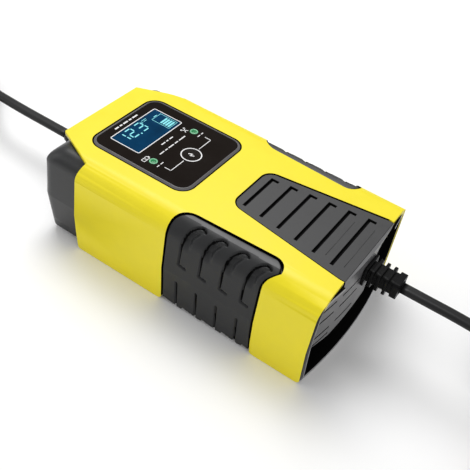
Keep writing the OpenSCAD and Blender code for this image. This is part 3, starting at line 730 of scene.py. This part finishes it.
def grip_depth(x, s, edge, gap):
    """Depth of the grip's face below the cover's surface, a distance edge from its outline and
    gap from the nearest groove."""
    depth = PAD_DEPTH + SHOULDER_DEPTH * (1 - smooth_step((s - 9) / 9))
    if edge < EDGE_ROUND:
        depth += EDGE_ROUND - math.sqrt(max(0, EDGE_ROUND ** 2 - (EDGE_ROUND - edge) ** 2))
    depth += GROOVE_DEPTH * (1 - smooth_step((gap - GROOVE_HALF) / GROOVE_WALL))
    lean = 4.6 * max(0.0, 1 - (s - 3) / 8) ** 1.5 if s > 3 else 4.6
    after = (x - GROOVE_FIRST - lean) % GROOVE_PITCH
    across = smooth_step(after / 0.9) * (1 - smooth_step((after - 2.8) / 2.0))
    down = smooth_step((s - 5) / 2.6) * (1 - smooth_step((s - 11) / 6))
    inside = GROOVE_FIRST < x < GROOVE_FIRST + 3.9 * GROOVE_PITCH
    return min(INNER_DEPTH - 0.4, depth + SCOOP_DEPTH * across * down if inside else depth)


def scallop(x):
    """Height of the grip's foot: it rises just ahead of each groove and runs down to the next one."""
    after = ((x - GROOVE_FIRST) % GROOVE_PITCH) / GROOVE_PITCH
    rise = smooth_step((after - 0.26) / 0.08)
    return 1.05 + 1.3 * rise * (1 - after) / 0.66


def make_grip(name, side):
    columns, rows, stride = 150, 140, 10
    lines = groove_lines()
    foot_rear, foot_front = grip_ends(CREASE_Y)
    mesh = bmesh.new()
    outer, inner, grooved = [], [], set()
    for i in range(rows + 1):
        t = i / rows
        outer_row, inner_row = [], []
        for j in range(columns + 1):
            f = j / columns
            top = down_to_y(GRIP_TOP_Y - GRIP_TOP_SLANT * f)
            foot = down_to_z(scallop(foot_rear + f * (foot_front - foot_rear)))
            s = top + t * (foot - top)
            point, normal = skin(s)
            rear, front = grip_ends(point.x)
            x = rear + f * (front - rear)
            edge = min(x - rear, front - x, s - top)
            gap = groove_distance(x, s, lines)
            depth = grip_depth(x, s, edge, gap)
            p = point - normal * depth
            outer_row.append(mesh.verts.new(mm(x, side * p.x, p.y)))
            # Painted shade: faces in the grooves and along the grip's outline take the near-black finish
            if gap < 0.5 or edge < 0.4:
                grooved.add(outer_row[-1])
            if i % stride == 0:
                p = point - normal * INNER_DEPTH
                inner_row.append(mesh.verts.new(mm(x, side * p.x, p.y)))
        outer.append(outer_row)
        if inner_row:
            inner.append(inner_row)
    for grid in (outer, inner):
        for a, b in zip(grid, grid[1:]):
            for j in range(columns):
                face = mesh.faces.new((a[j], a[j + 1], b[j + 1], b[j]))
                if grid is not outer:
                    continue
                # Painted highlight: the band along the grip's top takes a lighter copy of the rubber
                if face.calc_center_median().z / MM > GRIP_HIGHLIGHT_Z:
                    face.material_index = 1
                if all(v in grooved for v in face.verts):
                    face.material_index = 2
    for j in range(columns):
        mesh.faces.new((outer[0][j], outer[0][j + 1], inner[0][j + 1], inner[0][j]))
        mesh.faces.new((outer[-1][j], outer[-1][j + 1], inner[-1][j + 1], inner[-1][j]))
    for end in (0, -1):
        for k in range(len(inner) - 1):
            wall = [outer[i][end] for i in range(k * stride, (k + 1) * stride + 1)]
            mesh.faces.new(wall + [inner[k + 1][end], inner[k][end]])
    finished(f"{name}_pad", mesh, ["grip", "grip_lit_band", "recess_shade"], name)


CAP_ROUND = 10.0                      # of the rear cap's top rear edge
CAP_CORNER = 5.0                      # of its upright rear edges
CAP_LEAN = 2.4                        # how far its foot lies ahead of its rear face
CAP_INSET = 2.4                       # of its sides below the cover's surface
CAP_WALL = 1.8                        # thickness of its other walls
CAP_BACK = 3.4                        # thickness of its rear wall
CAP_STEPS = 10                        # rings along the round of its rear edges
CAP_SHRINK = 6.9                      # the most that its rear face pulls in
CAP_FOOT = 3.0                        # height at which it leans most
CAP_LEAN_RUN = 20.0                   # how far ahead of its rear face the lean has died away
DISPLAY_HALF = 24.3                   # half the width of the gap in its top for the display
DISPLAY_X = -58.3                     # where that gap begins


def cap_side(side, rear, x, inset, foot):
    """Points up one side of the rear cap at a distance x ahead of its rear face."""
    places = [DISPLAY_HALF - SHOULDER_Y] + [ARC * k / 14 for k in range(15)]
    places += [down_to_z(z) for z in (32, 26, 21, 20.5, 14, 8, foot)]
    points = []
    for s in places:
        point, normal = skin(s)
        r = CAP_CORNER + (CAP_ROUND - CAP_CORNER) * max(0, normal.y)
        short = r - min(x, r)
        shrink = min(CAP_SHRINK, r - math.sqrt(r ** 2 - short ** 2))
        y, z = point - normal * (inset + shrink)
        z = max(z, foot)
        low_down = max(0, CREASE_Z - z) / (CREASE_Z - CAP_FOOT)
        lean = CAP_LEAN * low_down * max(0, 1 - x / CAP_LEAN_RUN)
        points.append(mm(rear + x + lean, side * y, z))
    return points


def make_cap():
    """The rear cap: a thin-walled shell whose rear edges are well rounded."""
    low, high = corners("rear_cap")
    mesh = bmesh.new()
    skins = []
    for rear, inset, foot in (
        (low.x, CAP_INSET, low.z),
        (low.x + CAP_BACK, CAP_INSET + CAP_WALL, low.z + CAP_WALL),
    ):
        depth = high.x - rear
        angles = [math.radians(90 * k / CAP_STEPS) for k in range(1, CAP_STEPS + 1)]
        stations = [CAP_ROUND * (1 - math.cos(a)) for a in angles]
        stations += [DISPLAY_X - rear, 17.0, 21.0, depth]
        rings = []
        for x in stations:
            left, right = (cap_side(side, rear, x, inset, foot) for side in (1, -1))
            rings.append([mesh.verts.new(p) for p in left + right[::-1]])
        skins.append(rings)
        count = len(rings[0])
        for i, (back, ahead) in enumerate(zip(rings, rings[1:])):
            for k in range(count):
                over_top = k == count - 1
                if not over_top or i < CAP_STEPS:
                    j = (k + 1) % count
                    mesh.faces.new((back[k], back[j], ahead[j], ahead[k]))
        face = rings[0]
        mesh.faces.new((face[0], face[1], face[2], face[-3], face[-2], face[-1]))
        for k in range(2, count // 2 - 1):
            mesh.faces.new((face[k], face[k + 1], face[-k - 2], face[-k - 1]))
    outer, inner = skins
    count = len(outer[0])
    for k in range(count - 1):
        mesh.faces.new((outer[-1][k], outer[-1][k + 1], inner[-1][k + 1], inner[-1][k]))
    for i in range(CAP_STEPS, len(outer) - 1):
        for k in (0, count - 1):
            mesh.faces.new((outer[i][k], outer[i + 1][k], inner[i + 1][k], inner[i][k]))
    brow, lining = outer[CAP_STEPS], inner[CAP_STEPS]
    mesh.faces.new((brow[0], brow[-1], lining[-1], lining[0]))
    round_edges(mesh, 0.35, 2, degrees=60)
    even_normals(finished("rear_cap_part", mesh, ["shell"], "rear_cap"))


def make_front():
    """The bowed rim is grey in front and carries painted shade, near black, on its other faces; the
    louvre plate is grey with painted shade on its slots' walls. The casing that shows round the plate
    carries painted shade, near black."""
    mesh = node_mesh("front_bezel")
    round_edges(mesh, 0.25, 2, degrees=40)
    mesh.normal_update()
    # Painted shade: the rim's faces that don't face forward take the near-black finish
    for face in mesh.faces:
        if face.normal.x < 0.35:
            face.material_index = 1
    even_normals(finished("front_rim", mesh, ["edge", "recess_shade"], "front_bezel"))
    grille = softened("front_grille", 0.18, segments=2)
    grille.data.materials.append(MATERIAL["recess_shade"])
    # Painted shade on the walls of the louvre slots
    for face in grille.data.polygons:
        if abs(face.normal.x) < 0.3 and face.center.z / MM < 46:
            face.material_index = 1
    behind_rim = corners("front_bezel")[0].x - 1
    for node, radius in (("base_tray", 0.4), ("inner_shell", 0.3)):
        part = softened(node, radius)
        part.data.materials.append(MATERIAL["recess_shade"])
        # Painted shade on the casing that shows ahead of the rim
        for face in part.data.polygons:
            if face.center.x / MM > behind_rim:
                face.material_index = 1


INSERT_FIRST = 4.45                   # from the insert's rear end to its first groove
INSERT_PITCH = 8.78


def make_insert():
    """The insert with painted shade, near black, on its border and in its grooves, and two faint ridges
    between the front grooves.
    """
    low, high = corners("top_insert")
    mesh = node_mesh("top_insert")
    mesh.normal_update()
    tops = [f for f in mesh.faces if f.normal.z > 0.9 and f.calc_center_median().z / MM > high.z - 0.1]
    inset = bmesh.ops.inset_region(mesh, faces=tops, thickness=0.28 * MM, use_even_offset=True)
    borders = set(inset["faces"])
    flat = borders.union(tops)
    brink = {v for f in borders for v in f.verts if any(other not in flat for other in v.link_faces)}
    for vert in brink:
        if vert.co.x / MM < high.x - 0.3:
            vert.co.z -= 0.2 * MM
    for face in mesh.faces:
        # Painted shade: the border ring and the deeper faces take the near-black finish
        middle = face.calc_center_median() / MM
        if (face in borders and middle.x < high.x - 0.3) or middle.z < high.z - 0.35:
            face.material_index = 1
    finished("top_insert_part", mesh, ["insert", "recess_shade"], "top_insert", smooth=False)
    mesh = bmesh.new()
    for i in (4, 5):
        x = low.x + INSERT_FIRST + (i + 0.52) * INSERT_PITCH
        half = 9.5 + i * 1.1
        stroke(mesh, (x, -half), (x, half - 3), 0.3, high.z - 0.02, high.z + 0.07)
    finished("insert_ridges", mesh, ["insert"])


# ---------------------------------------------------------------- display

def make_display_rim():
    """A rim that rises from the cover to its inner edge, with painted shade, near black, on its inner wall.
    """
    low, high = corners("display_bezel")
    centre = (low + high) / 2
    half_x, half_y, corner = (high.x - low.x) / 2, (high.y - low.y) / 2, 6.5
    top = high.z
    profile = [
        (0, low.z), (0, top - 0.95), (0.08, top - 0.75), (0.3, top - 0.6), (1.1, top - 0.08), (1.3, top),
        (1.45, top - 0.03), (1.5, top - 0.15), (1.5, top - 1.4), (3, top - 1.4), (3, low.z),
    ]
    mesh = bmesh.new()
    rings = []
    for inset, z in profile:
        outline = rounded_rect(half_x - inset, half_y - inset, corner - inset, 10)
        rings.append([mesh.verts.new(mm(centre.x + x, centre.y + y, z)) for x, y in outline])
    # Painted shade: the inner wall's faces take the near-black finish
    for a, b in zip(rings, rings[1:] + rings[:1]):
        for k in range(len(a)):
            j = (k + 1) % len(a)
            face = mesh.faces.new((a[k], a[j], b[j], b[k]))
            face.material_index = 1 if b in rings[:4] else 0
    even_normals(finished("display_rim", mesh, ["panel_rim", "recess_shade"], "display_bezel"))


FILM_TOP = corners("display_overlay")[1].z
INK = (FILM_TOP - 0.01, FILM_TOP + 0.03)
LCD_REAR, LCD_FRONT = -51.4, -36.2
LCD_LEFT, LCD_RIGHT = -14.4, 15.8
LCD_HALF = (LCD_FRONT - LCD_REAR) / 2, (LCD_RIGHT - LCD_LEFT) / 2
LED_X, LED_Y = -28.1, 14.5
BUTTON_X = -18.9


def lcd_point(u, v):
    """A place on the display's glass, u along +Y and v along +X, each from 0 to 1."""
    return LCD_REAR + v * (LCD_FRONT - LCD_REAR), LCD_LEFT + u * (LCD_RIGHT - LCD_LEFT)


def frame_outline(centre, half, grow, corner, count):
    """A rounded rectangle round a centre, its half sizes grown by that much."""
    outline = rounded_rect(half[0] + grow, half[1] + grow, corner, count)
    return [(centre[0] + x, centre[1] + y) for x, y in outline]


SEGMENTS = {
    "top": ((0, 0), (1, 0)), "middle": ((0, 1), (1, 1)), "bottom": ((0, 2), (1, 2)),
    "left_high": ((0, 0), (0, 1)), "left_low": ((0, 1), (0, 2)),
    "right_high": ((1, 0), (1, 1)), "right_low": ((1, 1), (1, 2)),
}
DIGITS = {
    1: ("right_high", "right_low"),
    2: ("top", "right_high", "middle", "left_low", "bottom"),
    3: ("top", "right_high", "middle", "right_low", "bottom"),
}


def seven_segment(mesh, digit, u, v, width, height, z0, z1):
    """A seven-segment digit whose segments stop short of each other."""
    for part in DIGITS[digit]:
        ends = [Vector(lcd_point(u + a * width, v + b * height / 2)) for a, b in SEGMENTS[part]]
        trim = (ends[1] - ends[0]).normalized() * 0.42
        stroke(mesh, ends[0] + trim, ends[1] - trim, 0.62, z0, z1)


def make_lcd():
    low, high = corners("lcd_module")
    glass = FILM_TOP - 0.1
    mesh = bmesh.new()
    prism(mesh, [(low.x, low.y), (high.x, low.y), (high.x, high.y), (low.x, high.y)], low.z, high.z)
    prism(mesh, frame_outline(lcd_point(0.5, 0.5), LCD_HALF, -0.06, 0.2, 2), high.z, glass)
    round_edges(mesh, 0.05, 2)
    finished("lcd_panel", mesh, ["lcd"], "lcd_module", smooth=False)
    z0, z1 = glass - 0.01, glass + 0.03
    mesh = bmesh.new()
    for digit, u in ((1, 0.05), (2, 0.235), (3, 0.445)):
        seven_segment(mesh, digit, u, 0.09, 0.125, 0.37, z0, z1)
    prism(mesh, circle(lcd_point(0.393, 0.485), 0.42, 12), z0, z1)
    corners_uv = [lcd_point(u, v) for u, v in ((0.76, 0.27), (0.97, 0.27), (0.97, 0.9), (0.76, 0.9))]
    for a, b in zip(corners_uv, corners_uv[1:] + corners_uv[:1]):
        stroke(mesh, a, b, 0.22, z0, z1)
    stroke(mesh, lcd_point(0.83, 0.23), lcd_point(0.90, 0.23), 0.4, z0, z1)
    for k in range(4):
        v = 0.56 + k * 0.09
        stroke(mesh, lcd_point(0.785, v), lcd_point(0.945, v), 0.95, z0, z1)
    for a, b in (((0.62, 0.10), (0.72, 0.10)), ((0.64, 0.16), (0.70, 0.16)), ((0.60, 0.13), (0.60, 0.2))):
        stroke(mesh, lcd_point(*a), lcd_point(*b), 0.3, z0, z1)
    finished("lcd_segments", mesh, ["lcd_marks"], smooth=False)


def make_print():
    """White lines and plain marks on the film; bars stand where a label would be."""
    z0, z1 = INK
    mesh = bmesh.new()
    window = [frame_outline(lcd_point(0.5, 0.5), LCD_HALF, g, 0.5 + g, 5) for g in (0.45, 0.02)]
    band(mesh, *window, z0, z1)
    for side in (-1, 1):
        stroke(mesh, (BUTTON_X, side * 5.5), (BUTTON_X, side * 14.7), 0.36, z0, z1)
        stroke(mesh, (BUTTON_X + 0.18, side * 14.5), (BUTTON_X - 3.2, side * 14.5), 0.36, z0, z1)
    for x, y_from, lengths, height in (
        (-54.2, -8.5, (2.4, 1.6, 3.0, 1.6, 3.4), 0.8), (-32.6, -3.2, (2.6, 1.4, 2.4), 0.55),
        (-29.0, -9.0, (3.0, 1.6, 3.6, 2.2, 4.4), 0.55), (-24.6, LED_Y - 2.0, (1.8, 1.5), 0.45),
        (-24.6, -LED_Y - 2.0, (1.6, 1.9), 0.45),
    ):
        y = y_from
        for length in lengths:
            stroke(mesh, (x, y), (x, y + length), height, z0, z1)
            y += length + 0.8
    tools = (-31.6, LED_Y - 2.2)
    for lean in (-1, 1):
        head = (tools[0] - 1.2, tools[1] - lean)
        stroke(mesh, head, (tools[0] + 1.2, tools[1] + lean), 0.38, z0, z1)
        prism(mesh, circle(head, 0.5, 10), z0, z1)
    cell = (-31.4, -LED_Y - 1.2)
    case = [frame_outline(cell, (1.0, 1.9), -g, 0.3, 3) for g in (0, 0.28)]
    band(mesh, *case, z0, z1)
    stroke(mesh, (cell[0], cell[1] + 1.9), (cell[0], cell[1] + 2.35), 0.9, z0, z1)
    stroke(mesh, (cell[0] - 0.6, cell[1] - 0.5), (cell[0], cell[1] + 0.25), 0.28, z0, z1)
    stroke(mesh, (cell[0], cell[1] - 0.25), (cell[0] + 0.6, cell[1] + 0.5), 0.28, z0, z1)
    finished("display_print", mesh, ["print"], smooth=False)


def make_button():
    low, high = corners("repair_button")
    r, flange, top = 4.85, 5.75, high.z
    place = Matrix.Translation(mm(BUTTON_X, 0, 0))
    profile = [
        (0, low.z), (flange, low.z), (flange, low.z + 0.6), (flange - 0.1, low.z + 0.7), (r, low.z + 0.7),
        (r, top - 0.25), (r - 0.07, top - 0.07), (r - 0.25, top), (r - 0.9, top - 0.04), (2.4, top - 0.12),
        (0, top - 0.15),
    ]
    lathe("button_cap", profile, place, "button", "repair_button", body="button", count=64)
    mesh = bmesh.new()
    ring = [circle((BUTTON_X, 0), radius, 64) for radius in (4.72, 4.22)]
    band(mesh, *ring, top - 0.06, top + 0.02)
    z0, z1 = top - 0.16, top - 0.06
    for a, b in (((-1.5, -0.2), (0.2, 0.9)), ((0.2, 0.9), (-0.2, -0.9)), ((-0.2, -0.9), (1.5, 0.2))):
        stroke(mesh, (BUTTON_X + a[0], a[1]), (BUTTON_X + b[0], b[1]), 0.45, z0, z1)
    finished("button_print", mesh, ["print"], body="button", smooth=False)


def make_leds():
    for node, side in (("led_charge", -1), ("led_repair", 1)):
        low, high = corners(node)
        place = Matrix.Translation(mm(LED_X, side * LED_Y, 0))
        ring = [
            (0, low.z), (2.4, low.z), (2.4, low.z + 1), (1.9, low.z + 1), (1.9, high.z - 0.2),
            (1.82, high.z - 0.04), (1.7, high.z), (1.25, high.z - 0.03), (1.22, high.z - 0.12),
            (0, high.z - 0.12),
        ]
        lathe(f"{node}_lens", ring, place, "led_ring", node)
        dome = [
            (0, high.z - 0.2), (1.2, high.z - 0.2), (1.2, high.z - 0.1), (0.9, high.z - 0.04),
            (0.5, high.z), (0, high.z),
        ]
        lathe(f"{node}_dome", dome, place, "led")


# ---------------------------------------------------------------- leads' pieces

def turned_to(x, y, z, yaw_deg):
    """A matrix at that place whose Z axis points along +X before the yaw."""
    yaw = Matrix.Rotation(math.radians(yaw_deg), 4, "Z")
    return Matrix.Translation(mm(x, y, z)) @ yaw @ Matrix.Rotation(math.radians(90), 4, "Y")


def make_gland():
    """The rear strain relief: a collar, then a taper cut into rings."""
    body_end = -71.0
    place = turned_to(body_end, 0, 22, 180)
    length = body_end - corners("rear_gland")[0].x
    profile = [
        (0, -5.9), (5.5, -5.9), (5.5, -4.1), (4.1, -4), (4.1, 0.02), (5.2, 0.05), (5.4, 0.3), (5.4, 1.7),
        (5.1, 2),
    ]
    rings = 6
    step = (length - 3.4) / rings
    for k in range(rings):
        start = 2.4 + k * step
        outer = 5 - 1.6 * (start + step * 0.3) / length
        profile += [
            (outer - 1.1, start), (outer - 1.1, start + step * 0.3), (outer, start + step * 0.36),
            (outer, start + step * 0.9), (outer - 0.15, start + step * 0.97),
        ]
    profile += [(3.4, length - 0.6), (3.2, length - 0.05), (0, length)]
    lathe("rear_strain_relief", profile, place, "cord", "rear_gland")


PLUG_ROUND = 0.8                      # of its section's corners, as a part of half its smaller side
PIN_Y = 9.3                           # from the plug's middle to each pin's


def loft(name, stations, slot, node):
    """A body through rounded rectangles, each (x, y, z of its middle, half width, half height)."""
    mesh = bmesh.new()
    rings = []
    for x, y, z, half_w, half_h in stations:
        outline = rounded_rect(half_w, half_h, min(half_w, half_h) * PLUG_ROUND, 8)
        rings.append([mesh.verts.new(mm(x, y + a, z + b)) for a, b in outline])
    join_rings(mesh, rings)
    close_ends(mesh, rings)
    even_normals(finished(name, mesh, [slot], node))


def make_plug():
    """A flat two-pin plug with a waist to hold it by, and its pins' sleeves."""
    low, high = corners("plug_body")
    centre = (low + high) / 2
    half_w, half_h = (high.y - low.y) / 2, (high.z - low.z) / 2
    shape = [                         # (distance from the cord's end, part of the width, of the height)
        (0, 0.22, 0.55), (0.6, 0.26, 0.62), (1.0, 0.27, 0.64), (3, 0.30, 0.68), (6, 0.36, 0.76),
        (10, 0.52, 0.84), (15, 0.72, 0.92), (20, 0.86, 0.97), (25, 0.94, 0.99), (30, 0.985, 1.0),
        (33.5, 1.0, 1.0), (35.2, 1.0, 1.0), (35.8, 0.985, 0.965), (36, 0.965, 0.93),
    ]
    stations = [(high.x - x, centre.y, centre.z, half_w * w, half_h * h) for x, w, h in shape]
    loft("plug_shell", stations, "cord", "plug_body")
    tip = low.x - corners("plug_pins")[0].x
    sleeve = [(1.3, -0.3), (1.99, -0.3), (1.99, 9.6), (1.9, 9.8), (1.3, 9.8), (1.3, -0.3)]
    pin = [
        (0, -5.9), (1.5, -5.9), (1.5, -0.4), (1.85, -0.3), (1.85, tip - 1.7), (1.95, tip - 1.6),
        (1.95, tip - 1.3), (1.6, tip - 0.5), (1.0, tip - 0.1), (0, tip),
    ]
    for name, y, node in (("near", centre.y - PIN_Y, "plug_pins"), ("far", centre.y + PIN_Y, None)):
        place = turned_to(low.x, y, centre.z, 180)
        lathe(f"pin_sleeve_{name}", sleeve, place, "cord")
        lathe(f"plug_pin_{name}", pin, place, "nickel", node)


def make_spring(name, at, node):
    """The windings of a torsion spring round the clamp's pin."""
    turns, wire_r, radius, half_width = 4, 0.5, 2.3, 2.3
    steps = 24
    points = []
    for k in range(steps * turns + 1):
        a = math.radians(200) + 2 * math.pi * k / steps
        y = at.y + half_width * (2 * k / (steps * turns) - 1)
        points.append(mm(at.x + radius * math.cos(a), y, at.z + radius * math.sin(a)))
    round_wire(name, points, wire_r, "steel", node)


def round_wire(name, points, radius, slot, node):
    """A round wire along points, its rings kept from twisting."""
    mesh = bmesh.new()
    rings = []
    side = Vector((0, 1, 0))
    for i, p in enumerate(points):
        ahead = (points[min(i + 1, len(points) - 1)] - points[max(i - 1, 0)]).normalized()
        side = (side - ahead * side.dot(ahead)).normalized()
        other = ahead.cross(side)
        rings.append([
            mesh.verts.new(p + (side * math.cos(a) + other * math.sin(a)) * radius * MM)
            for a in turn_angles(10)
        ])
    join_rings(mesh, rings)
    close_ends(mesh, rings)
    finished(name, mesh, [slot], node)


def make_clamps():
    for colour in ("red", "black"):
        low, high = corners(f"{colour}_clamp_pin")
        pivot = (low + high) / 2
        for part, radius, segments, degrees in (("clamp", 0.55, 3, 25), ("teeth", 0.12, 2, 30)):
            softened(f"{colour}_{part}_lower", radius, segments, degrees)
            softened(f"{colour}_{part}_upper", radius, segments, degrees, body=f"{colour}_jaw")
        softened(f"{colour}_clamp_pin", 0.15, segments=2)
        make_spring(f"{colour}_spring_coil", pivot, f"{colour}_clamp_spring")


def dress_nodes():
    """Gives every CAD node its material."""
    for name, obj in frame["nodes"].items():
        obj.data.materials.clear()
        obj.data.materials.append(MATERIAL[SLOT[name]])


dress_nodes()
make_cover()
make_grip("side_grip_left", 1)
make_grip("side_grip_right", -1)
make_front()
make_insert()
make_cap()
softened("case_screws", 0.15, segments=2)
make_display_rim()
make_lcd()
make_print()
make_button()
make_leds()
make_gland()
softened("front_boot", 0.45, material="boot")
softened("lead_splitter", 1.1, segments=4)
softened("mains_tie", 0.35)
softened("dc_tie", 0.35)
make_plug()
make_clamps()
